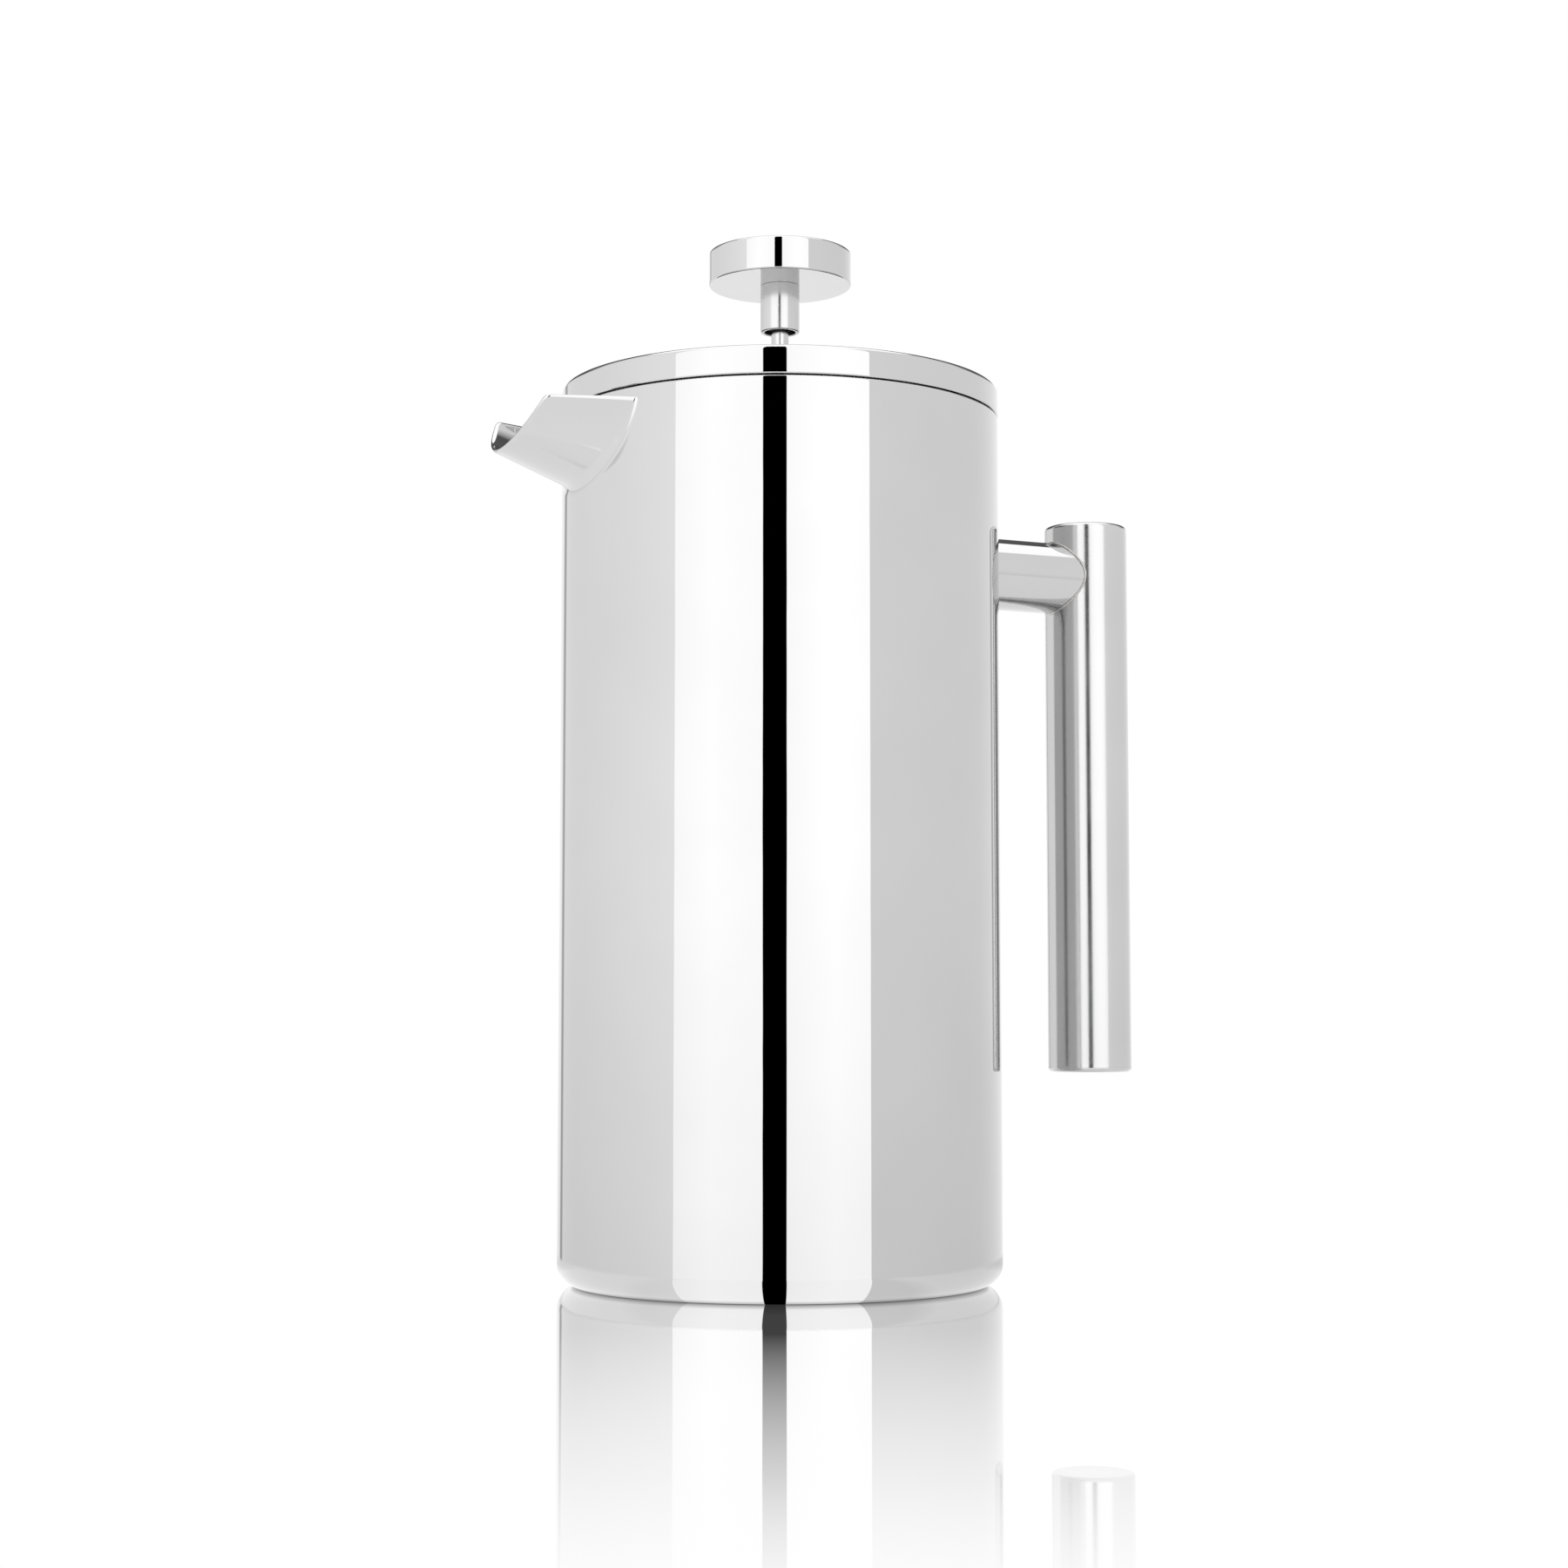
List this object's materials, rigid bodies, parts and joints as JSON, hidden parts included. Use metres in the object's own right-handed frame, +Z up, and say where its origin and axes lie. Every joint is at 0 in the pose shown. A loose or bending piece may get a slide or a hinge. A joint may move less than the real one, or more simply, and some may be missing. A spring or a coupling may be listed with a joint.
{
  "type": "french press",
  "caption": "Double-wall stainless steel press pot with a V-shaped spout, flat round lid, disc knob on a plunger rod, and an upright tube handle on one arm.",
  "frame": {"origin": "centre of the round foot, on the surface that it stands on", "axes": "+Z up along the plunger rod, +X from the vessel towards the handle, -X towards the spout"},
  "size_m": [0.1593, 0.1, 0.2355],
  "materials": {
    "polished_steel": "polished",
    "liner_steel": "satin",
    "weld_steel": "satin",
    "woven_steel": "satin",
    "spring_steel": "polished"
  },
  "bodies": {
    "vessel": {"outer_shell": "polished_steel", "base_cap": "liner_steel", "inner_liner": "liner_steel", "spout": "polished_steel", "spout_throat": "liner_steel", "handle_arm": "polished_steel", "arm_root_weld": "weld_steel", "arm_weld_bead": "weld_steel", "handle_grip": "polished_steel", "handle_top_cap": "polished_steel", "handle_bottom_cap": "polished_steel"},
    "guide": {"guide_bush": "polished_steel", "guide_nut": "liner_steel"},
    "lid": {"lid_cover": "polished_steel", "lid_liner": "liner_steel"},
    "plunger": {"plunger_rod": "polished_steel", "rod_collar": "liner_steel"},
    "knob": {"knob_disc": "polished_steel", "knob_neck": "polished_steel", "knob_insert": "liner_steel"},
    "filter": {"filter_nut": "liner_steel", "cross_plate": "liner_steel", "backing_screen": "woven_steel", "filter_screen": "woven_steel", "spiral_plate": "liner_steel", "edge_spring": "spring_steel"}
  },
  "joints": [
    {"name": "lid_lift", "type": "slide", "parent": "vessel", "child": "guide", "axis": [0, 0, 1], "range_m": [0, 0.2]},
    {"name": "lid_turn", "type": "hinge", "parent": "guide", "child": "lid", "pos_m": [0, 0, 0.2], "axis": [0, 0, 1], "continuous": true},
    {"name": "plunger_slide", "type": "slide", "parent": "guide", "child": "plunger", "axis": [0, 0, 1], "range_m": [-0.0098, 0.15]},
    {"name": "knob_turn", "type": "hinge", "parent": "plunger", "child": "knob", "pos_m": [0, 0, 0.225], "axis": [0, 0, 1], "continuous": true},
    {"name": "filter_turn", "type": "hinge", "parent": "plunger", "child": "filter", "pos_m": [0, 0, 0.022], "axis": [0, 0, 1], "continuous": true}
  ]
}
